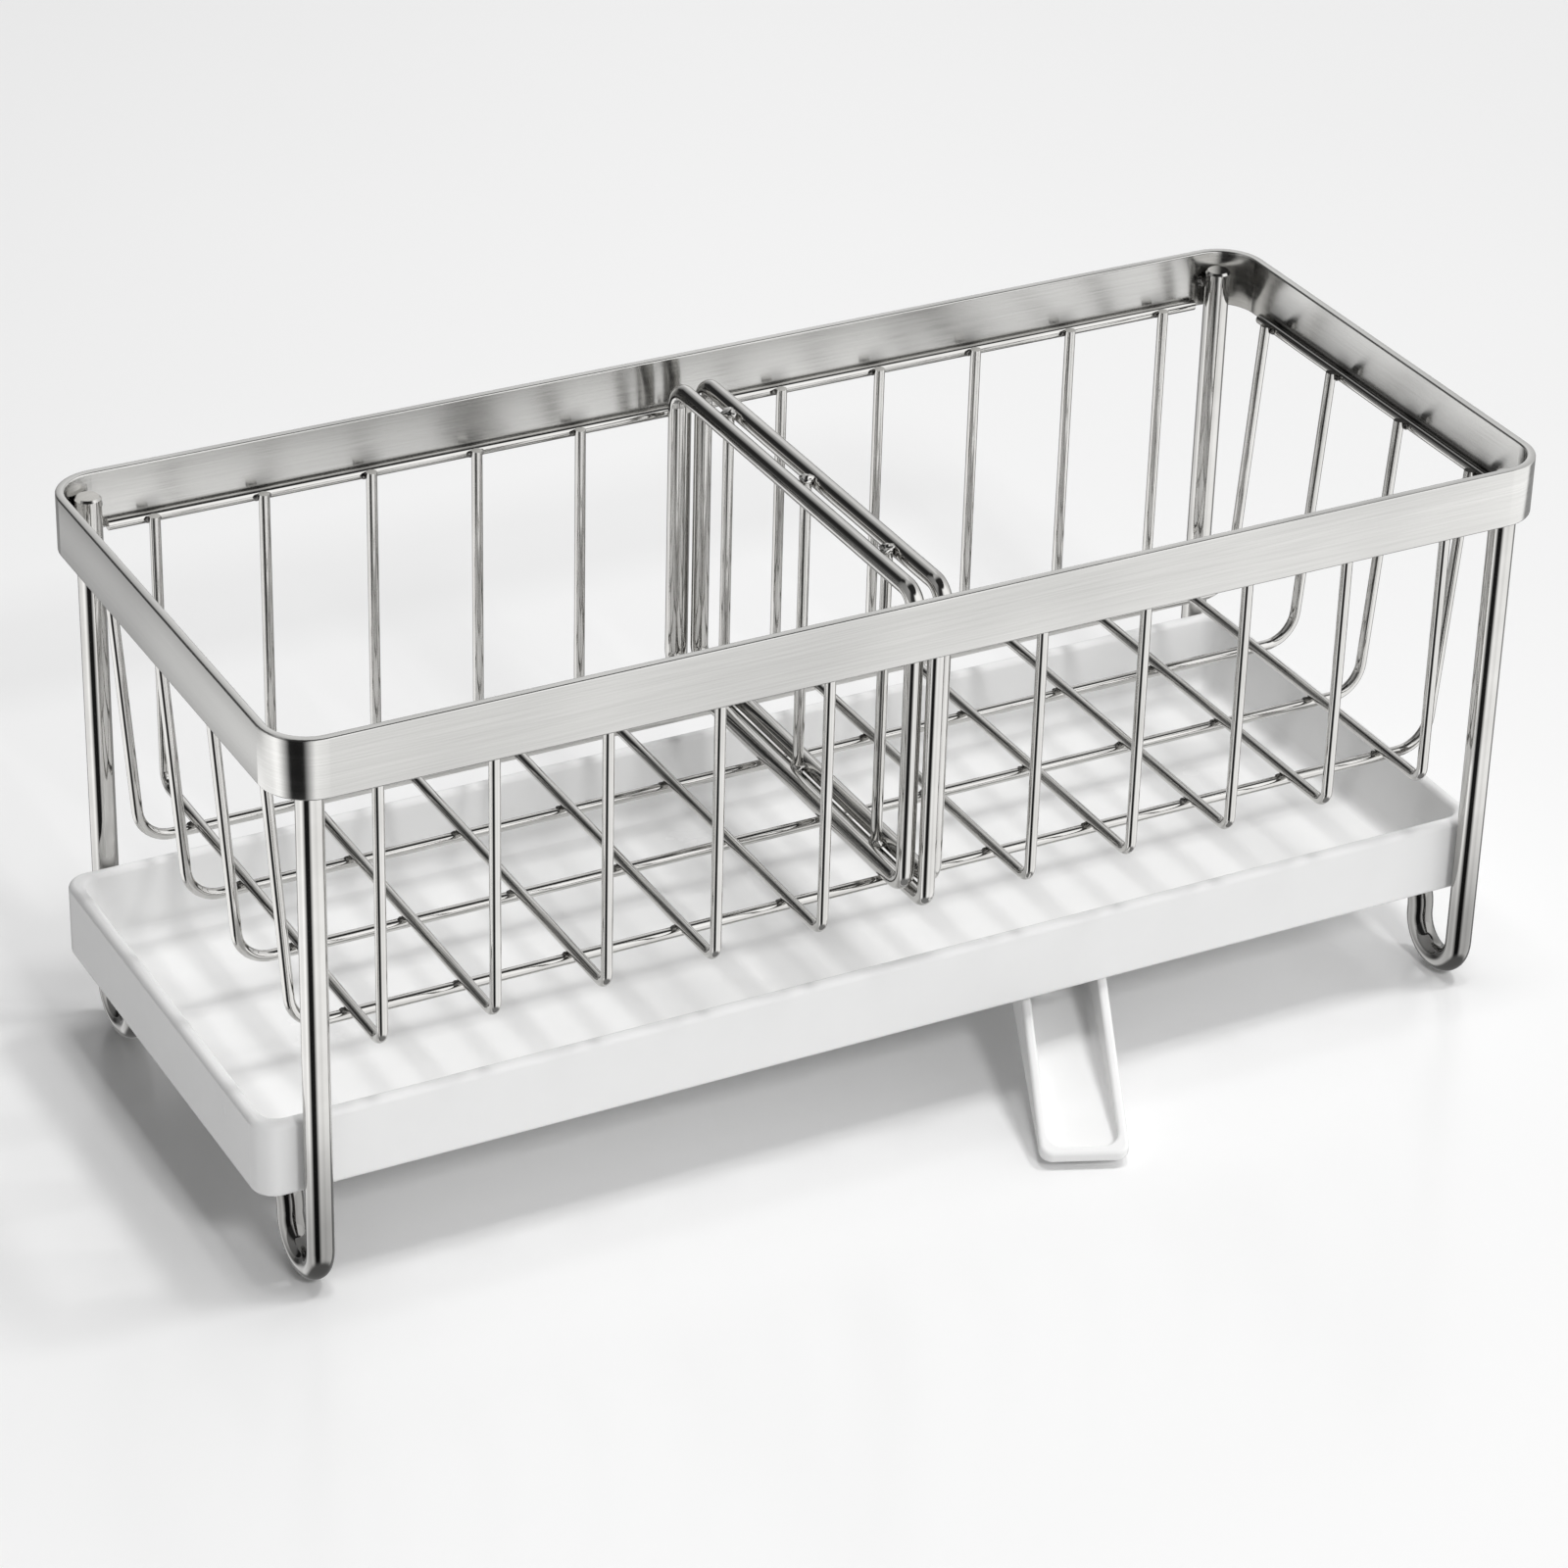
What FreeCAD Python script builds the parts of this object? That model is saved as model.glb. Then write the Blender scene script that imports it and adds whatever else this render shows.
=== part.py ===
import FreeCAD, Part
import math
import os

os.makedirs("parts", exist_ok=True)

# Lengths are in millimetres. Heights are measured up from the counter.

# Rim band
rim_length = 305.0
rim_width = 132.0
rim_top = 136.0
band_height = 13.8
band_thickness = 2.0
rim_corner_radius = 11.0
band_edge_round = 0.4

# Wire thicknesses
leg_wire = 6.0
basket_wire = 2.5
centre_wire_thickness = 3.8
divider_wire = 4.1
divider_rod_wire = 2.5

# Gaps
weld_gap = 0.05
rest_gap = 0.3
running_fit = 0.05
cut_overrun = 1.0
same_place = 0.001

# Leg frames
leg_end_inset = 8.7
leg_top_drop = 3.5
leg_end_chamfer = 0.5
foot_bend_radius = 8.0
bar_bend_radius = 8.0
bar_height = 20.3

# Basket
cross_wires_per_side = 5
last_cross_wire_gap = 12.9
cross_wire_height = 57.7
cross_bend_radius = 3.5
long_wires = 4
outer_long_wire_gap = 17.4
long_bend_radius = 8.0
end_wall_lean = 5.0
top_wire_end_gap = 2.0
end_top_wire_inset = 17.0

# Centre wire
centre_bend_radius = 3.0

# Divider
divider_end_gap = 3.45
divider_top_drop = 1.35
divider_corner_radius = 4.5
divider_rod_from_end = 19.0
divider_rod_top_drop = 0.3

# Drip tray
tray_end_inset = 0.3
tray_side_gap = 0.5
tray_push = 3.4
tray_height = 18.2
tray_corner_radius = 5.5
tray_inner_corner_radius = 4.0
tray_rim = 3.0
tray_wall_slope = 4.0
tray_floor = 2.2
tray_rim_round = 1.4
tray_foot_round = 1.5
tray_floor_round = 3.5

# Drain under the tray
drain_from_end = 102.3
drain_from_front = 17.35
drain_bore = 8.0
drain_dish = 14.0
drain_dish_depth = 0.8
spigot_thickness = 12.0
spigot_flange = 14.0
spigot_flange_height = 1.4

# Drain spout
spout_length = 55.3
spout_width = 20.0
spout_wall = 2.2
spout_floor = 1.2
spout_plate = 2.0
spout_plate_reach = 11.0
spout_tip_drop = 19.1
spout_tip_gap = 1.5
spout_rear_depth = 9.8
spout_lip = 2.2
spout_corner_radius = 3.0
spout_inner_corner_radius = 3.6
spout_inner_round = 1.5
spout_outer_round = 1.0
spout_edge_round = 0.8
spout_turn = -22.5

# Heights and places that follow from the values above
up = FreeCAD.Vector(0, 0, 1)
band_bottom = rim_top - band_height
inner_face_y = rim_width / 2 - band_thickness
inner_face_x = rim_length / 2 - band_thickness
leg_x = rim_length / 2 - leg_end_inset
leg_corner_reach = rim_corner_radius - band_thickness - weld_gap - leg_wire / 2
leg_y = rim_width / 2 - rim_corner_radius + math.sqrt(
    leg_corner_reach ** 2 - max(rim_corner_radius - leg_end_inset, 0) ** 2
)
top_wire_y = inner_face_y - weld_gap - basket_wire / 2
top_wire_x = inner_face_x - weld_gap - basket_wire / 2
top_wire_height = band_bottom + basket_wire / 2
wall_end_height = top_wire_height + basket_wire / 2
side_wall_y = top_wire_y - weld_gap - basket_wire
end_wall_x = top_wire_x - weld_gap - basket_wire
end_wall_foot_x = end_wall_x - end_wall_lean
long_wire_height = cross_wire_height - weld_gap - basket_wire
cross_wire_pitch = (end_wall_foot_x - last_cross_wire_gap) / cross_wires_per_side
outer_long_wire_y = side_wall_y - outer_long_wire_gap
centre_wire_y = top_wire_y - weld_gap - (basket_wire + centre_wire_thickness) / 2
centre_wire_height = cross_wire_height + (centre_wire_thickness - basket_wire) / 2
tray_length = rim_length - 2 * tray_end_inset
tray_width = 2 * (leg_y - leg_wire / 2 - tray_side_gap)
tray_underside = bar_height + leg_wire / 2 + rest_gap
tray_top = tray_underside + tray_height
drain_x = tray_length / 2 - drain_from_end - tray_push
drain_y = drain_from_front - tray_width / 2
spout_top = tray_underside - rest_gap
plate_underside = spout_top - spout_plate
spout_rear_bottom = spout_top - spout_rear_depth
spout_tip_top = spout_top - spout_tip_drop
loop_x = (divider_wire + divider_rod_wire) / 2 + weld_gap
rod_bottom = centre_wire_height + centre_wire_thickness / 2 + rest_gap
nest_reach = (divider_wire + centre_wire_thickness) / 2 + rest_gap
loop_bottom = centre_wire_height + math.sqrt(max(nest_reach ** 2 - loop_x ** 2, 0))
loop_top = rim_top - divider_top_drop - divider_wire / 2
loop_y = top_wire_y - basket_wire / 2 - divider_end_gap - divider_wire / 2


def corner_arc(before, corner, after, radius):
    """Start, middle and end of the arc that rounds one corner of a path."""
    back = (before - corner).normalize()
    ahead = (after - corner).normalize()
    half_angle = back.getAngle(ahead) / 2
    reach = radius / math.tan(half_angle)
    inset = radius / math.sin(half_angle) - radius
    return corner + back * reach, corner + (back + ahead).normalize() * inset, corner + ahead * reach


def rounded_path(points, radii):
    """Straight runs joined by tangent arcs, one radius for each inner point."""
    edges = []
    start = points[0]
    for before, corner, after, radius in zip(points, points[1:], points[2:], radii):
        first, middle, last = corner_arc(before, corner, after, radius)
        if start.distanceToPoint(first) > same_place:
            edges.append(Part.makeLine(start, first))
        edges.append(Part.Arc(first, middle, last).toShape())
        start = last
    edges.append(Part.makeLine(start, points[-1]))
    return Part.Wire(edges)


def closed_path(corners, radius):
    """Closed outline with every corner rounded alike."""
    start = (corners[0] + corners[-1]) / 2
    return rounded_path([start] + corners + [start], [radius] * len(corners))


def round_bar(path, start, along, thickness):
    """Round wire of one thickness that follows a path from its start."""
    section = Part.makeCircle(thickness / 2, start, along)
    return path.makePipe(Part.Face(Part.Wire(section)))


def bent_wire(points, radii, thickness):
    return round_bar(rounded_path(points, radii), points[0], points[1] - points[0], thickness)


def straight_wire(start, end, thickness):
    along = end - start
    return Part.makeCylinder(thickness / 2, along.Length, start, along)


def rectangle(length, width, height):
    """Corners of a rectangle around the middle of the caddy, at one height."""
    x = length / 2
    y = width / 2
    return [
        FreeCAD.Vector(-x, -y, height),
        FreeCAD.Vector(x, -y, height),
        FreeCAD.Vector(x, y, height),
        FreeCAD.Vector(-x, y, height),
    ]


def rounded_slab(length, width, radius, bottom, height):
    outline = closed_path(rectangle(length, width, bottom), radius)
    return Part.Face(outline).extrude(up * height)


def edges_at(shape, height):
    """Edges that lie flat at one height."""
    flat = []
    for edge in shape.Edges:
        box = edge.BoundBox
        if abs(box.ZMin - height) < same_place and abs(box.ZMax - height) < same_place:
            flat.append(edge)
    return flat


def rim_band():
    outer = rounded_slab(rim_length, rim_width, rim_corner_radius, band_bottom, band_height)
    inner = rounded_slab(
        rim_length - 2 * band_thickness,
        rim_width - 2 * band_thickness,
        rim_corner_radius - band_thickness,
        band_bottom - cut_overrun,
        band_height + 2 * cut_overrun,
    )
    band = outer.cut(inner)
    return band.makeFillet(band_edge_round, edges_at(band, rim_top) + edges_at(band, band_bottom))


def leg_frame(x):
    """One wire: down from the rim, round a foot, across under the tray and back up."""
    riser_y = leg_y - 2 * foot_bend_radius
    low = leg_wire / 2
    half = [
        FreeCAD.Vector(x, -leg_y, rim_top - leg_top_drop),
        FreeCAD.Vector(x, -leg_y, low),
        FreeCAD.Vector(x, -riser_y, low),
        FreeCAD.Vector(x, -riser_y, bar_height),
    ]
    other_half = [FreeCAD.Vector(p.x, -p.y, p.z) for p in reversed(half)]
    bends = [foot_bend_radius, foot_bend_radius, bar_bend_radius]
    frame = bent_wire(half + other_half, bends + bends[::-1], leg_wire)
    return frame.makeChamfer(leg_end_chamfer, edges_at(frame, rim_top - leg_top_drop))


def long_side_top_wire(x_side, y_side):
    """Half of the wire along one long side. Both halves meet behind the centre wire."""
    far = leg_x - leg_wire / 2 - top_wire_end_gap
    start = FreeCAD.Vector(x_side * weld_gap, y_side * top_wire_y, top_wire_height)
    end = FreeCAD.Vector(x_side * far, y_side * top_wire_y, top_wire_height)
    return straight_wire(start, end, basket_wire)


def end_top_wire(x_side):
    reach = rim_width / 2 - end_top_wire_inset
    start = FreeCAD.Vector(x_side * top_wire_x, -reach, top_wire_height)
    end = FreeCAD.Vector(x_side * top_wire_x, reach, top_wire_height)
    return straight_wire(start, end, basket_wire)


def cross_wire(x):
    points = [
        FreeCAD.Vector(x, -side_wall_y, wall_end_height),
        FreeCAD.Vector(x, -side_wall_y, cross_wire_height),
        FreeCAD.Vector(x, side_wall_y, cross_wire_height),
        FreeCAD.Vector(x, side_wall_y, wall_end_height),
    ]
    return bent_wire(points, [cross_bend_radius] * 2, basket_wire)


def long_wire(y):
    points = [
        FreeCAD.Vector(-end_wall_x, y, wall_end_height),
        FreeCAD.Vector(-end_wall_foot_x, y, long_wire_height),
        FreeCAD.Vector(end_wall_foot_x, y, long_wire_height),
        FreeCAD.Vector(end_wall_x, y, wall_end_height),
    ]
    return bent_wire(points, [long_bend_radius] * 2, basket_wire)


def centre_wire():
    points = [
        FreeCAD.Vector(0, -centre_wire_y, wall_end_height),
        FreeCAD.Vector(0, -centre_wire_y, centre_wire_height),
        FreeCAD.Vector(0, centre_wire_y, centre_wire_height),
        FreeCAD.Vector(0, centre_wire_y, wall_end_height),
    ]
    return bent_wire(points, [centre_bend_radius] * 2, centre_wire_thickness)


def divider_loop(x):
    corners = [
        FreeCAD.Vector(x, loop_y, loop_bottom),
        FreeCAD.Vector(x, loop_y, loop_top),
        FreeCAD.Vector(x, -loop_y, loop_top),
        FreeCAD.Vector(x, -loop_y, loop_bottom),
    ]
    path = closed_path(corners, divider_corner_radius)
    start = FreeCAD.Vector(x, 0, loop_bottom)
    return round_bar(path, start, FreeCAD.Vector(0, 1, 0), divider_wire)


def divider_rod(y):
    start = FreeCAD.Vector(0, y, rod_bottom)
    end = FreeCAD.Vector(0, y, loop_top + divider_wire / 2 - divider_rod_top_drop)
    return straight_wire(start, end, divider_rod_wire)


def tray_hollow():
    """Inside of the tray: sloped walls and a rounded corner along the floor."""
    floor_height = tray_underside + tray_floor
    top_outline = closed_path(
        rectangle(tray_length - 2 * tray_rim, tray_width - 2 * tray_rim, tray_top),
        tray_inner_corner_radius,
    )
    inset = tray_rim + tray_wall_slope
    floor_outline = closed_path(
        rectangle(tray_length - 2 * inset, tray_width - 2 * inset, floor_height),
        tray_inner_corner_radius,
    )
    hollow = Part.makeLoft([floor_outline, top_outline], True, True)
    return hollow.makeFillet(tray_floor_round, edges_at(hollow, floor_height))


def spigot():
    """Short tube under the tray with a flange that holds the spout up."""
    bottom = plate_underside - rest_gap - spigot_flange_height
    place = FreeCAD.Vector(drain_x, drain_y, bottom)
    tube = Part.makeCylinder(spigot_thickness / 2, tray_underside + tray_floor / 2 - bottom, place)
    flange = Part.makeCylinder(spigot_flange / 2, spigot_flange_height, place)
    return tube.fuse(flange)


def drain_hole():
    floor_height = tray_underside + tray_floor
    bottom = plate_underside - rest_gap - spigot_flange_height - cut_overrun
    place = FreeCAD.Vector(drain_x, drain_y, bottom)
    hole = Part.makeCylinder(drain_bore / 2, floor_height + cut_overrun - bottom, place)
    dish_place = FreeCAD.Vector(drain_x, drain_y, floor_height - drain_dish_depth)
    dish = Part.makeCone(drain_bore / 2, drain_dish / 2, drain_dish_depth, dish_place)
    return hole.fuse(dish)


def drip_tray():
    body = rounded_slab(tray_length, tray_width, tray_corner_radius, tray_underside, tray_height)
    body = body.makeFillet(tray_foot_round, edges_at(body, tray_underside))
    body = body.cut(tray_hollow())
    body = body.makeFillet(tray_rim_round, edges_at(body, tray_top))
    body.translate(FreeCAD.Vector(-tray_push, 0, 0))
    return body.fuse(spigot()).cut(drain_hole()).removeSplitter()


def side_prism(points, width):
    """Side outline of the spout, given as (y, z), extruded evenly across it."""
    corners = [FreeCAD.Vector(-width / 2, y, z) for y, z in points]
    face = Part.Face(Part.makePolygon(corners + corners[:1]))
    return face.extrude(FreeCAD.Vector(width, 0, 0))


def plan_prism(width, tip, corner):
    """Plan of the spout: a round rear end around the swivel and a square tip."""
    half = width / 2
    outline = rounded_path(
        [
            FreeCAD.Vector(-half, 0, 0),
            FreeCAD.Vector(-half, -tip, 0),
            FreeCAD.Vector(half, -tip, 0),
            FreeCAD.Vector(half, 0, 0),
        ],
        [corner] * 2,
    )
    rear = Part.Arc(FreeCAD.Vector(half, 0, 0), FreeCAD.Vector(0, half, 0), FreeCAD.Vector(-half, 0, 0))
    face = Part.Face(Part.Wire(outline.Edges + [rear.toShape()]))
    return face.extrude(up * (spout_top + cut_overrun))


def floor_edges(shape):
    """Edges around the lowest face of a spout solid."""
    lowest = min(shape.Faces, key=lambda face: face.CenterOfMass.z)
    return lowest.Edges


def slope_edges(shape):
    """Edges around the sloping rim of the spout, in front of its plate."""
    fall = spout_tip_drop / (spout_length - spout_plate_reach)
    found = []
    for edge in shape.Edges:
        middle = edge.CenterOfMass
        past_plate = -spout_plate_reach - middle.y
        on_slope = abs(spout_top - fall * past_plate - middle.z) < same_place
        if on_slope and past_plate > same_place:
            found.append(edge)
    return found


def spout_body():
    rear = spout_width / 2
    sides = [
        (rear, spout_top),
        (-spout_plate_reach, spout_top),
        (-spout_length, spout_tip_top),
        (-spout_length, spout_tip_gap),
        (rear, spout_rear_bottom),
    ]
    plan = plan_prism(spout_width, spout_length, spout_corner_radius)
    body = side_prism(sides, spout_width).common(plan)
    return body.makeFillet(spout_outer_round, floor_edges(body))


def spout_channel():
    """Sloped channel, under the plate at the rear and open above in front of it."""
    rear = spout_width / 2
    front = spout_length - spout_lip
    low_rear = spout_rear_bottom + spout_floor
    low_tip = spout_tip_gap + spout_floor
    above = spout_top + cut_overrun
    inner_width = spout_width - 2 * spout_wall
    sides = [
        (rear, plate_underside),
        (-spout_plate_reach, plate_underside),
        (-spout_plate_reach, above),
        (-spout_length, above),
        (-spout_length, low_tip),
        (rear, low_rear),
    ]
    plan = plan_prism(inner_width, front, spout_inner_corner_radius)
    channel = side_prism(sides, inner_width).common(plan)
    return channel.makeFillet(spout_inner_round, floor_edges(channel))


def drain_spout():
    hole = Part.makeCylinder(spigot_thickness / 2 + running_fit, spout_top + cut_overrun)
    hole.translate(up * (plate_underside - cut_overrun))
    spout = spout_body().cut(spout_channel())
    spout = spout.makeFillet(spout_edge_round, slope_edges(spout))
    spout = spout.cut(hole).removeSplitter()
    spout.rotate(FreeCAD.Vector(0, 0, 0), up, spout_turn)
    spout.translate(FreeCAD.Vector(drain_x, drain_y, 0))
    return spout


def save(name, shape):
    solid = shape.Solids[0]
    solid.exportStep("parts/" + name + ".step")


save("rim_band", rim_band())
save("leg_frame_left", leg_frame(-leg_x))
save("leg_frame_right", leg_frame(leg_x))
save("top_wire_front_left", long_side_top_wire(-1, -1))
save("top_wire_front_right", long_side_top_wire(1, -1))
save("top_wire_back_left", long_side_top_wire(-1, 1))
save("top_wire_back_right", long_side_top_wire(1, 1))
save("top_wire_left_end", end_top_wire(-1))
save("top_wire_right_end", end_top_wire(1))

places = [step for step in range(-cross_wires_per_side, cross_wires_per_side + 1) if step != 0]
for number, step in enumerate(places, 1):
    save("cross_wire_%02d" % number, cross_wire(step * cross_wire_pitch))

long_wire_pitch = 2 * outer_long_wire_y / (long_wires - 1)
for number in range(long_wires):
    save("long_wire_%d" % (number + 1), long_wire(outer_long_wire_y - number * long_wire_pitch))

save("centre_wire", centre_wire())
save("divider_loop_left", divider_loop(-loop_x))
save("divider_loop_right", divider_loop(loop_x))
save("divider_rod_front", divider_rod(divider_rod_from_end - loop_y))
save("divider_rod_middle", divider_rod(0))
save("divider_rod_back", divider_rod(loop_y - divider_rod_from_end))
save("drip_tray", drip_tray())
save("drain_spout", drain_spout())
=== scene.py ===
import math

import bmesh
import bpy
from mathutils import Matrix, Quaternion, Vector, noise


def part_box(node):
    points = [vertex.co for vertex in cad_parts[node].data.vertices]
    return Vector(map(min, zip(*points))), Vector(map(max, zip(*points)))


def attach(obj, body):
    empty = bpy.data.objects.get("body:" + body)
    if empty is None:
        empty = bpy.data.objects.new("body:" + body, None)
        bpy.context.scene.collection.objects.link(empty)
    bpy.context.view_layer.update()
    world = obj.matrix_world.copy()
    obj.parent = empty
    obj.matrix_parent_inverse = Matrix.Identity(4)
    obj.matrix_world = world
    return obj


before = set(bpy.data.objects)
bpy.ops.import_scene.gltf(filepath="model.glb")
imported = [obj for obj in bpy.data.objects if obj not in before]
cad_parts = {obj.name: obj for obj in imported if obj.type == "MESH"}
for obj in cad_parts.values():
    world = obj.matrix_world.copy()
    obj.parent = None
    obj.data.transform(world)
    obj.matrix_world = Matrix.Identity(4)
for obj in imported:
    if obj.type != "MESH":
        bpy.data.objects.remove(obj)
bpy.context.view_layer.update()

# Lengths are in metres, angles in degrees.
mm = 0.001
half_turn = 180

# Camera
camera_turn = 28.504
camera_lift = 29.693
camera_roll = 1.605
camera_distance = 1153.27 * mm
camera_target = Vector((-3.413, 0, 57.86)) * mm
camera_lens = 117.27
camera_sensor = 36.0

# Floor
floor_size = 8.0
floor_grey = 0.95
floor_grey_change = 0.005
floor_cloud_scale = (3, 3, 3)
floor_cloud_detail = 2
floor_roughness = 0.2

# Lamps
lamp_aim = Vector((0, 0, 0.03))
key_place = Vector((0, -2.0, 1.7))
key_size = 0.38
key_power = 18.5
top_place = Vector((0, -0.1, 2.6))
top_size = 0.46
top_power = 15.5
side_place = Vector((1.9, -0.6, 4.9))
side_size = 0.7
side_power = 56.0

# Soft light of the room: a little from everywhere, and more from some sides and from above
sky_even = 0.02
sky_right = 0.95
sky_front = 0.22
sky_back = 0.15
sky_overhead = 0.25
overhead_power = 4

# What the metal mirrors: grey levels at azimuths measured from the front towards the right
mirrored_below = [
    (-180, 0.35), (-166, 0.40), (-156, 1.50), (-128, 1.30), (-108, 1.30), (-95, 1.60),
    (-88, 1.55), (-62, 0.015), (-32, 0.015), (-8, 1.40), (8, 1.30), (24, 1.16),
    (42, 1.35), (84, 1.35), (93, 0.35), (172, 0.35),
]
mirrored_horizon = [
    (-180, 0.50), (-165, 0.40), (-140, 0.45), (-110, 1.00), (-88, 1.20), (-64, 0.03),
    (-30, 0.03), (-8, 1.20), (90, 1.20), (120, 0.90), (145, 0.75), (170, 0.60),
]
mirrored_above = [
    (-180, 0.40), (-172, 0.28), (-161, 0.03), (-145, 0.03), (-132, 0.30), (-100, 0.40),
    (-84, 0.40), (-64, 0.04), (-28, 0.05), (-8, 1.20), (8, 1.50), (60, 1.50),
    (90, 0.95), (120, 0.70), (140, 0.80), (152, 1.10), (163, 0.75), (172, 0.52),
]

# Other things it mirrors, placed by azimuth or by the backward or upward part of a direction
mirrored_overhead_front = 0.03
mirrored_overhead_back = 0.64
overhead_dark_end = 0.10
overhead_light_start = 0.40
mirrored_card = 0.1
card_turn = -150
card_width = 45
card_bottom = 0.56
card_top = 0.28
mirrored_underneath = 0.25
overhead_start = 0.78
overhead_full = 0.87
underneath_start = 0.7
underneath_full = 0.86
horizon_height = 0.10
horizon_edge = 0.02

# Polished wire
wire_dark = (0.53, 0.523, 0.507, 1)
wire_light = (0.62, 0.613, 0.597, 1)
foot_shade_share = 0.45
foot_shade_end = 15 * mm
foot_shade_start = 55 * mm
wire_cloud_scale = (60, 60, 60)
wire_cloud_detail = 3
wire_grain_scale = (2600, 2600, 2600)
wire_grain_detail = 2
wire_smooth = 0.07
wire_rough = 0.1
wire_grain_strength = 0.003
wire_grain_depth = 0.02 * mm

# Brushed band
band_dark = (0.56, 0.556, 0.542, 1)
band_light = (0.68, 0.676, 0.660, 1)
band_fine_scale = (42, 42, 3000)
band_fine_detail = 3
band_broad_scale = (9, 9, 260)
band_broad_detail = 2
band_cloud_scale = (11, 11, 8)
band_cloud_detail = 2
band_cloud_dark = (0.78, 0.78, 0.78, 1)
band_cloud_light = (1.04, 1.04, 1.04, 1)
band_fine_share = 0.6
band_smooth = 0.14
band_rough = 0.23
band_anisotropy = 0.85
band_brush_turn = 0.25
band_grain_strength = 0.05
band_grain_depth = 0.05 * mm
band_thickness = 2.0 * mm
band_corner_radius = 11.0 * mm
band_crown = 0.33 * mm
band_edge_crown = 0.06 * mm
band_edge_start = 0.25 * mm
band_crown_strength = 1.0
band_crown_depth = 1.0

# Painted reflection: dark marks on the band's inner faces, over each welded wire, where the band mirrors
# the wires
mark_width = 5.5 * mm
mark_height = 8.0 * mm
mark_depth_share = 0.7

# White plastic
plastic_dark = (0.925, 0.925, 0.922, 1)
plastic_light = (0.945, 0.945, 0.942, 1)
plastic_cloud_scale = (45, 45, 45)
plastic_cloud_detail = 4
plastic_grain_scale = (1800, 1800, 1800)
plastic_grain_detail = 2
plastic_smooth = 0.18
plastic_rough = 0.28
plastic_specular = 0.25
plastic_grain_strength = 0.06
plastic_grain_depth = 0.03 * mm

# Welds: lumps of metal at the joints, coloured near black; the near-black is partly the welds' own colour
# and partly painted shade of the crevice beside each joint
weld_and_painted_shade_dark = (0.05, 0.048, 0.045, 1)
weld_and_painted_shade_light = (0.30, 0.295, 0.285, 1)
weld_cloud_scale = (900, 900, 900)
weld_cloud_detail = 3
weld_smooth = 0.12
weld_rough = 0.35
weld_lump_scale = 1100.0
weld_lumpiness = 0.5
weld_subdivisions = 3
crossing_weld = Vector((0.85, 0.7, 0.3)) * mm
crossing_weld_offset = 1.15 * mm
wall_weld = Vector((0.8, 0.6, 0.7)) * mm
wall_weld_offset = 1.3 * mm
leg_weld = Vector((1.1, 1.0, 1.3)) * mm
leg_weld_drop = 3.6 * mm
rod_weld = Vector((1.7, 1.9, 1.0)) * mm
rod_weld_drop = 0.5 * mm

# Noise that all the finishes share
noise_roughness = 0.6
noise_low = 0.3
noise_high = 0.7


def nodes_named(start):
    """Names of the CAD nodes that begin alike, in order."""
    return sorted(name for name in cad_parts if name.startswith(start))


cross_wires = nodes_named("cross_wire_")
long_wires = nodes_named("long_wire_")


def middle(node):
    low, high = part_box(node)
    return (low + high) / 2


def add_node(tree, kind, **inputs):
    """One shader node, with values for the inputs that are named."""
    made = tree.nodes.new(kind)
    for name, value in inputs.items():
        made.inputs[name.replace("_", " ")].default_value = value
    return made


def grey(level):
    return (level, level, level, 1)


def new_material(name):
    """A material with one principled shader, its node tree and that shader."""
    material = bpy.data.materials.new(name)
    material.use_nodes = True
    tree = material.node_tree
    shader = tree.nodes["Principled BSDF"]
    return material, tree, shader


def math_node(tree, operation, *values):
    made = tree.nodes.new("ShaderNodeMath")
    made.operation = operation
    for socket, value in zip(made.inputs, values):
        if isinstance(value, (int, float)):
            socket.default_value = value
        else:
            tree.links.new(value, socket)
    return made.outputs["Value"]


def map_range(tree, value, low, high, to_low, to_high, smooth=False):
    made = add_node(tree, "ShaderNodeMapRange", From_Min=low, From_Max=high, To_Min=to_low, To_Max=to_high)
    if smooth:
        made.interpolation_type = "SMOOTHSTEP"
    tree.links.new(value, made.inputs["Value"])
    return made.outputs["Result"]


def mix_colours(tree, factor, first, second):
    """First colour where the factor is 0, second where it is 1."""
    made = tree.nodes.new("ShaderNodeMix")
    made.data_type = "RGBA"
    tree.links.new(factor, made.inputs["Factor"])
    for value, name in ((first, "A"), (second, "B")):
        socket = next(s for s in made.inputs if s.name == name and s.type == "RGBA")
        if isinstance(value, tuple):
            socket.default_value = value
        else:
            tree.links.new(value, socket)
    return next(s for s in made.outputs if s.type == "RGBA")


def shaded(tree, colour, shade):
    """A colour times a shade."""
    made = tree.nodes.new("ShaderNodeVectorMath")
    made.operation = "MULTIPLY"
    tree.links.new(colour, made.inputs[0])
    tree.links.new(shade, made.inputs[1])
    return made.outputs["Vector"]


def place_in_object(tree):
    """The x, y and z of a point in its object, which are its place in the part."""
    coordinates = tree.nodes.new("ShaderNodeTexCoord")
    split = tree.nodes.new("ShaderNodeSeparateXYZ")
    tree.links.new(coordinates.outputs["Object"], split.inputs["Vector"])
    return split.outputs


def stretched_noise(tree, scale, detail):
    """Noise over the object's own coordinates, stretched by a scale for each axis."""
    coordinates = tree.nodes.new("ShaderNodeTexCoord")
    mapping = tree.nodes.new("ShaderNodeMapping")
    mapping.inputs["Scale"].default_value = scale
    pattern = add_node(tree, "ShaderNodeTexNoise", Scale=1.0, Detail=detail, Roughness=noise_roughness)
    tree.links.new(coordinates.outputs["Object"], mapping.inputs["Vector"])
    tree.links.new(mapping.outputs["Vector"], pattern.inputs["Vector"])
    return pattern.outputs["Fac"]


def tint(tree, value, dark, light):
    """Colour that runs from dark to light over the usual span of a noise."""
    spread = map_range(tree, value, noise_low, noise_high, 0, 1)
    return mix_colours(tree, spread, dark, light)


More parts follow.
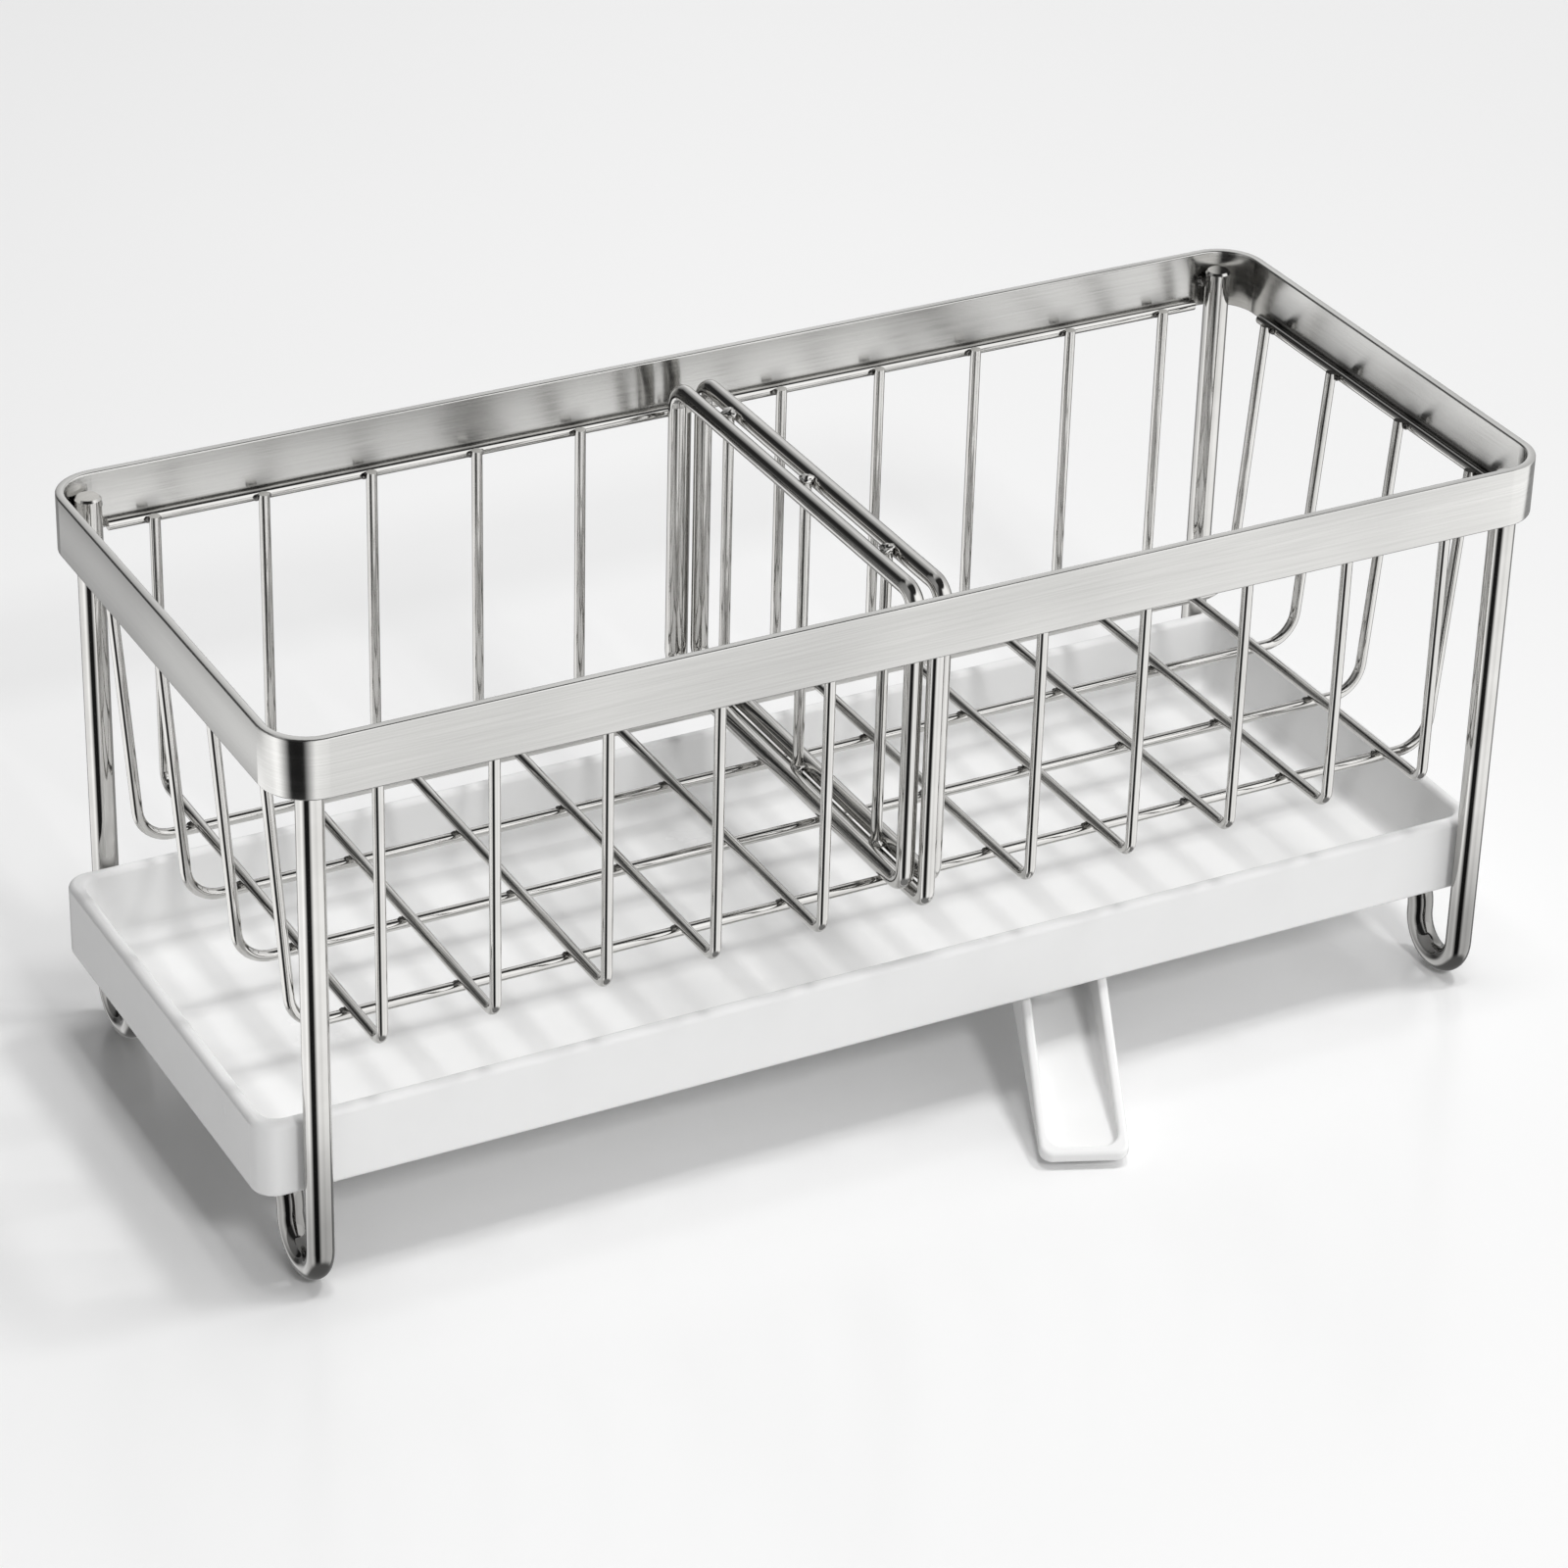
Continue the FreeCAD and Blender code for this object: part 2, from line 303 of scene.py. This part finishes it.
def set_roughness(tree, shader, value, smooth, rough):
    tree.links.new(map_range(tree, value, noise_low, noise_high, smooth, rough), shader.inputs["Roughness"])


def bump(tree, shader, height, strength, distance):
    """Uneven surface, on top of the shader's normal where it has one."""
    made = add_node(tree, "ShaderNodeBump", Strength=strength, Distance=distance)
    for link in shader.inputs["Normal"].links:
        tree.links.new(link.from_socket, made.inputs["Normal"])
    tree.links.new(height, made.inputs["Height"])
    tree.links.new(made.outputs["Normal"], shader.inputs["Normal"])


def foot_shade(tree):
    """Darker towards the feet, where the metal mirrors the shade under the tray."""
    z = place_in_object(tree)[2]
    return map_range(tree, z, foot_shade_end, foot_shade_start, foot_shade_share, 1, smooth=True)


def polished_wire():
    material, tree, shader = new_material("polished_wire_finish")
    cloud = stretched_noise(tree, wire_cloud_scale, wire_cloud_detail)
    grain = stretched_noise(tree, wire_grain_scale, wire_grain_detail)
    shader.inputs["Metallic"].default_value = 1.0
    steel = shaded(tree, tint(tree, cloud, wire_dark, wire_light), foot_shade(tree))
    tree.links.new(steel, shader.inputs["Base Color"])
    set_roughness(tree, shader, cloud, wire_smooth, wire_rough)
    bump(tree, shader, grain, wire_grain_strength, wire_grain_depth)
    return material


def near_any(tree, place, spots, reach):
    """1 at each of the spots along one axis, falling to 0 at the reach from it."""
    nearest = None
    for spot in spots:
        away = math_node(tree, "ABSOLUTE", math_node(tree, "SUBTRACT", place, spot))
        nearest = away if nearest is None else math_node(tree, "MINIMUM", nearest, away)
    return map_range(tree, nearest, 0, reach, 1, 0, smooth=True)


def into_band(tree):
    """How far a point lies inside the band's outer face, a rectangle with round corners from above."""
    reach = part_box("rim_band")[1]
    x, y = place_in_object(tree)[:2]
    beyond = []
    for place, end in ((x, reach.x), (y, reach.y)):
        away = math_node(tree, "ABSOLUTE", place)
        beyond.append(math_node(tree, "SUBTRACT", away, end - band_corner_radius))
    round_x, round_y = (math_node(tree, "MAXIMUM", value, 0) for value in beyond)
    square_x = math_node(tree, "MULTIPLY", round_x, round_x)
    square_y = math_node(tree, "MULTIPLY", round_y, round_y)
    past_corner = math_node(tree, "SQRT", math_node(tree, "ADD", square_x, square_y))
    nearest = math_node(tree, "MINIMUM", math_node(tree, "MAXIMUM", *beyond), 0)
    outside = math_node(tree, "ADD", past_corner, nearest)
    return math_node(tree, "SUBTRACT", band_corner_radius, outside)


def crown(tree, shader):
    """The band bulges outwards a little, so it is hollow inside, and its edges are round."""
    low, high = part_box("rim_band")
    z = place_in_object(tree)[2]
    depth = into_band(tree)
    up = map_range(tree, z, low.z, high.z, -1, 1)
    across = map_range(tree, depth, band_edge_start, band_thickness - band_edge_start, -1, 1)
    inside = math_node(tree, "GREATER_THAN", across, 0)
    facing = math_node(tree, "SUBTRACT", 1, math_node(tree, "MULTIPLY", inside, 2))
    bulge = math_node(tree, "SUBTRACT", 1, math_node(tree, "MULTIPLY", up, up))
    sides = math_node(tree, "MULTIPLY", math_node(tree, "MULTIPLY", bulge, facing), band_crown)
    edges = math_node(tree, "MULTIPLY", math_node(tree, "MULTIPLY", across, across), -band_edge_crown)
    bump(tree, shader, math_node(tree, "ADD", sides, edges), band_crown_strength, band_crown_depth)


def painted_reflection_marks(tree):
    """Painted reflection: dark marks on the inside of the band, over the ends of the welded wires, where
    the band mirrors them.
    """
    low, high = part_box("rim_band")
    x, y, z = place_in_object(tree)
    inside = math_node(tree, "GREATER_THAN", into_band(tree), band_thickness / 2)
    along_sides = near_any(tree, x, [middle(name).x for name in cross_wires], mark_width)
    along_ends = near_any(tree, y, [middle(name).y for name in long_wires], mark_width)
    end_wall = high.x - 2 * band_thickness
    on_end_wall = math_node(tree, "GREATER_THAN", math_node(tree, "ABSOLUTE", x), end_wall)
    along = math_node(
        tree, "ADD",
        math_node(tree, "MULTIPLY", along_sides, math_node(tree, "SUBTRACT", 1, on_end_wall)),
        math_node(tree, "MULTIPLY", along_ends, on_end_wall),
    )
    fade = map_range(tree, z, low.z, low.z + mark_height, 1, 0, smooth=True)
    return math_node(tree, "MULTIPLY", math_node(tree, "MULTIPLY", along, fade), inside)


def brushed_band():
    material, tree, shader = new_material("brushed_band_finish")
    fine = stretched_noise(tree, band_fine_scale, band_fine_detail)
    broad = stretched_noise(tree, band_broad_scale, band_broad_detail)
    cloud = stretched_noise(tree, band_cloud_scale, band_cloud_detail)
    lines = math_node(
        tree, "ADD",
        math_node(tree, "MULTIPLY", fine, band_fine_share),
        math_node(tree, "MULTIPLY", broad, 1 - band_fine_share),
    )
    shader.inputs["Metallic"].default_value = 1.0
    shader.inputs["Anisotropic"].default_value = band_anisotropy
    shader.inputs["Anisotropic Rotation"].default_value = band_brush_turn
    tangent = tree.nodes.new("ShaderNodeTangent")
    tangent.direction_type = "RADIAL"
    tangent.axis = "Z"
    tree.links.new(tangent.outputs["Tangent"], shader.inputs["Tangent"])
    clouds = tint(tree, cloud, band_cloud_dark, band_cloud_light)
    steel = shaded(tree, tint(tree, lines, band_dark, band_light), clouds)
    # The band is darkened at these marks: painted reflection of the wires in the band.
    marks = math_node(tree, "MULTIPLY", painted_reflection_marks(tree), mark_depth_share)
    # The darkest weld colour also gives the painted reflection marks their tint.
    tree.links.new(mix_colours(tree, marks, steel, weld_and_painted_shade_dark), shader.inputs["Base Color"])
    set_roughness(tree, shader, lines, band_smooth, band_rough)
    crown(tree, shader)
    bump(tree, shader, lines, band_grain_strength, band_grain_depth)
    return material


def white_plastic():
    material, tree, shader = new_material("white_plastic_finish")
    shader.inputs["Specular IOR Level"].default_value = plastic_specular
    cloud = stretched_noise(tree, plastic_cloud_scale, plastic_cloud_detail)
    grain = stretched_noise(tree, plastic_grain_scale, plastic_grain_detail)
    tree.links.new(tint(tree, cloud, plastic_dark, plastic_light), shader.inputs["Base Color"])
    set_roughness(tree, shader, cloud, plastic_smooth, plastic_rough)
    bump(tree, shader, grain, plastic_grain_strength, plastic_grain_depth)
    return material


def weld_and_painted_shade_finish():
    material, tree, shader = new_material("weld_and_painted_shade_finish")
    cloud = stretched_noise(tree, weld_cloud_scale, weld_cloud_detail)
    shader.inputs["Metallic"].default_value = 1.0
    # Near-black colour: the welds themselves, and painted shade of the crevice beside each joint.
    tree.links.new(tint(tree, cloud, weld_and_painted_shade_dark, weld_and_painted_shade_light), shader.inputs["Base Color"])
    set_roughness(tree, shader, cloud, weld_smooth, weld_rough)
    return material


def dress_nodes():
    """Gives every CAD node the finish of its material slot."""
    finishes = {
        "polished_wire": polished_wire(),
        "brushed_band": brushed_band(),
        "white_plastic": white_plastic(),
    }
    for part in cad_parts.values():
        for place in part.material_slots:
            place.material = finishes[place.material.name.split(".")[0]]


def crossing_welds():
    """Places where a wire across the basket meets a wire along it, a little to one side."""
    places = []
    for across in cross_wires + ["centre_wire"]:
        x = middle(across).x - crossing_weld_offset
        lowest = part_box(across)[0].z
        for along in long_wires:
            places.append(Vector((x, middle(along).y, lowest)))
    return places


def wall_welds():
    """Places where the wires' upright ends meet the wires under the rim."""
    height = middle("top_wire_left_end").z
    places = []
    for name in cross_wires:
        low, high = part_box(name)
        x = middle(name).x
        for y in (low.y, high.y):
            for side in (-wall_weld_offset, wall_weld_offset):
                places.append(Vector((x + side, y, height)))
    for name in long_wires:
        low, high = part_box(name)
        y = middle(name).y
        for x in (low.x, high.x):
            for side in (-wall_weld_offset, wall_weld_offset):
                places.append(Vector((x, y + side, height)))
    return places


def leg_welds():
    """Places where the legs' upper ends meet the long sides of the band."""
    places = []
    inner_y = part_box("top_wire_back_left")[1].y
    for name, side in (("leg_frame_left", 1), ("leg_frame_right", -1)):
        low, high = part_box(name)
        x = high.x if side > 0 else low.x
        for y in (-inner_y, inner_y):
            places.append(Vector((x, y - math.copysign(leg_weld.y, y), high.z - leg_weld_drop)))
    return places


def rod_welds():
    """Places where the divider's rods end between its two loops."""
    places = []
    for name in ("divider_rod_front", "divider_rod_middle", "divider_rod_back"):
        low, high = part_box(name)
        centre = middle(name)
        places.append(Vector((centre.x, centre.y, high.z - rod_weld_drop)))
        places.append(Vector((centre.x, centre.y, low.z + rod_weld.z)))
    return places


def add_welds(name, body, groups, finish):
    """One mesh of small uneven lumps of metal, each at its place and of its group's size."""
    mesh = bpy.data.meshes.new(name)
    builder = bmesh.new()
    for places, size in groups:
        for place in places:
            lump = bmesh.ops.create_icosphere(builder, subdivisions=weld_subdivisions, radius=1.0)["verts"]
            for vertex in lump:
                shape = Vector([a * b for a, b in zip(vertex.co, size)])
                swell = 1 + weld_lumpiness * noise.noise((place + shape) * weld_lump_scale)
                vertex.co = place + shape * swell
    for face in builder.faces:
        face.smooth = True
    builder.to_mesh(mesh)
    builder.free()
    welds = bpy.data.objects.new(name, mesh)
    welds.data.materials.append(finish)
    bpy.context.scene.collection.objects.link(welds)
    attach(welds, body)


def add_floor():
    bpy.ops.mesh.primitive_plane_add(size=floor_size)
    floor = bpy.context.object
    floor.name = "floor"
    material, tree, shader = new_material("floor_finish")
    cloud = stretched_noise(tree, floor_cloud_scale, floor_cloud_detail)
    level = tint(tree, cloud, grey(floor_grey - floor_grey_change), grey(floor_grey + floor_grey_change))
    tree.links.new(level, shader.inputs["Base Color"])
    shader.inputs["Roughness"].default_value = floor_roughness
    floor.data.materials.append(material)
    floor.visible_glossy = False


def level_ramp(tree, turn, levels):
    """Grey levels at azimuths, over a turn that runs from 0 to 1."""
    ramp = tree.nodes.new("ShaderNodeValToRGB")
    tree.links.new(turn, ramp.inputs["Fac"])
    stops = ramp.color_ramp.elements
    while len(stops) < len(levels):
        stops.new(1.0)
    for stop, (angle, level) in zip(stops, levels):
        stop.position = (angle + half_turn) / (2 * half_turn)
        stop.color = grey(level)
    return ramp.outputs["Color"]


def mirrored_studio(tree, x, y, z):
    """Light and dark cards that the metal mirrors, under a ceiling that is dark towards the front."""
    azimuth = math_node(tree, "ARCTAN2", x, math_node(tree, "MULTIPLY", y, -1))
    turn = map_range(tree, azimuth, -math.pi, math.pi, 0, 1)
    above = level_ramp(tree, turn, mirrored_above)
    ceiling = map_range(
        tree, y, overhead_dark_end, overhead_light_start,
        mirrored_overhead_front, mirrored_overhead_back, smooth=True,
    )
    overhead = map_range(tree, z, overhead_start, overhead_full, 0, 1, smooth=True)
    above = mix_colours(tree, overhead, above, ceiling)
    risen = map_range(tree, z, 0, horizon_height, 0, 1, smooth=True)
    above = mix_colours(tree, risen, level_ramp(tree, turn, mirrored_horizon), above)
    below = level_ramp(tree, turn, mirrored_below)
    aside = math_node(tree, "ABSOLUTE", math_node(tree, "SUBTRACT", azimuth, math.radians(card_turn)))
    card_side = map_range(tree, aside, 0, math.radians(card_width), 1, 0, smooth=True)
    card_rise = map_range(tree, z, -card_bottom, -card_top, 0, 1, smooth=True)
    below = mix_colours(tree, math_node(tree, "MULTIPLY", card_side, card_rise), below, grey(mirrored_card))
    underneath = map_range(tree, z, -underneath_start, -underneath_full, 0, 1, smooth=True)
    below = mix_colours(tree, underneath, below, grey(mirrored_underneath))
    is_above = map_range(tree, z, -horizon_edge, horizon_edge, 0, 1)
    return mix_colours(tree, is_above, below, above)


def room_light(tree, x, y, z):
    """Soft light from everywhere, from three sides of the room and from above."""
    total = None
    for axis, sign, level in ((x, 1, sky_right), (y, -1, sky_front), (y, 1, sky_back)):
        facing = math_node(tree, "MAXIMUM", math_node(tree, "MULTIPLY", axis, sign), 0)
        part = math_node(tree, "MULTIPLY", facing, level)
        total = part if total is None else math_node(tree, "ADD", total, part)
    high = math_node(tree, "POWER", math_node(tree, "MAXIMUM", z, 0), overhead_power)
    overhead = math_node(tree, "MULTIPLY", high, sky_overhead)
    return math_node(tree, "ADD", math_node(tree, "ADD", total, overhead), sky_even)


def add_world():
    """Soft light of the room, and a studio for the metal to mirror."""
    world = bpy.data.worlds.new("studio")
    bpy.context.scene.world = world
    world.use_nodes = True
    world.cycles.sampling_method = "NONE"
    tree = world.node_tree
    background = tree.nodes["Background"]
    coordinates = tree.nodes.new("ShaderNodeTexCoord")
    split = tree.nodes.new("ShaderNodeSeparateXYZ")
    tree.links.new(coordinates.outputs["Generated"], split.inputs["Vector"])
    x, y, z = split.outputs
    sky = room_light(tree, x, y, z)
    path = tree.nodes.new("ShaderNodeLightPath")
    light = mix_colours(tree, path.outputs["Is Glossy Ray"], sky, mirrored_studio(tree, x, y, z))
    tree.links.new(light, background.inputs["Color"])


def add_lamp(name, place, size, power):
    """A soft square lamp that lights the part but doesn't show in the metal."""
    light = bpy.data.lights.new(name, "AREA")
    light.size = size
    light.energy = power
    lamp = bpy.data.objects.new(name, light)
    lamp.location = place
    lamp.rotation_mode = "QUATERNION"
    lamp.rotation_quaternion = (lamp_aim - place).to_track_quat("-Z", "Y")
    lamp.visible_glossy = False
    bpy.context.scene.collection.objects.link(lamp)


def add_camera():
    turn, lift, roll = (math.radians(a) for a in (camera_turn, camera_lift, camera_roll))
    back = Vector((-math.sin(turn) * math.cos(lift), -math.cos(turn) * math.cos(lift), math.sin(lift)))
    data = bpy.data.cameras.new("camera")
    data.sensor_width = camera_sensor
    data.lens = camera_lens
    camera = bpy.data.objects.new("camera", data)
    camera.location = camera_target + back * camera_distance
    camera.rotation_mode = "QUATERNION"
    camera.rotation_quaternion = (-back).to_track_quat("-Z", "Y") @ Quaternion((0, 0, 1), roll)
    bpy.context.scene.collection.objects.link(camera)
    bpy.context.scene.camera = camera


dress_nodes()
frame_groups = [(crossing_welds(), crossing_weld), (wall_welds(), wall_weld), (leg_welds(), leg_weld)]
add_welds("frame_welds", "frame", frame_groups, weld_and_painted_shade_finish())
add_welds("divider_welds", "divider", [(rod_welds(), rod_weld)], bpy.data.materials["polished_wire_finish"])
add_floor()
add_world()
add_lamp("key", key_place, key_size, key_power)
add_lamp("top", top_place, top_size, top_power)
add_lamp("side", side_place, side_size, side_power)
add_camera()
bpy.context.scene.view_settings.view_transform = "Standard"
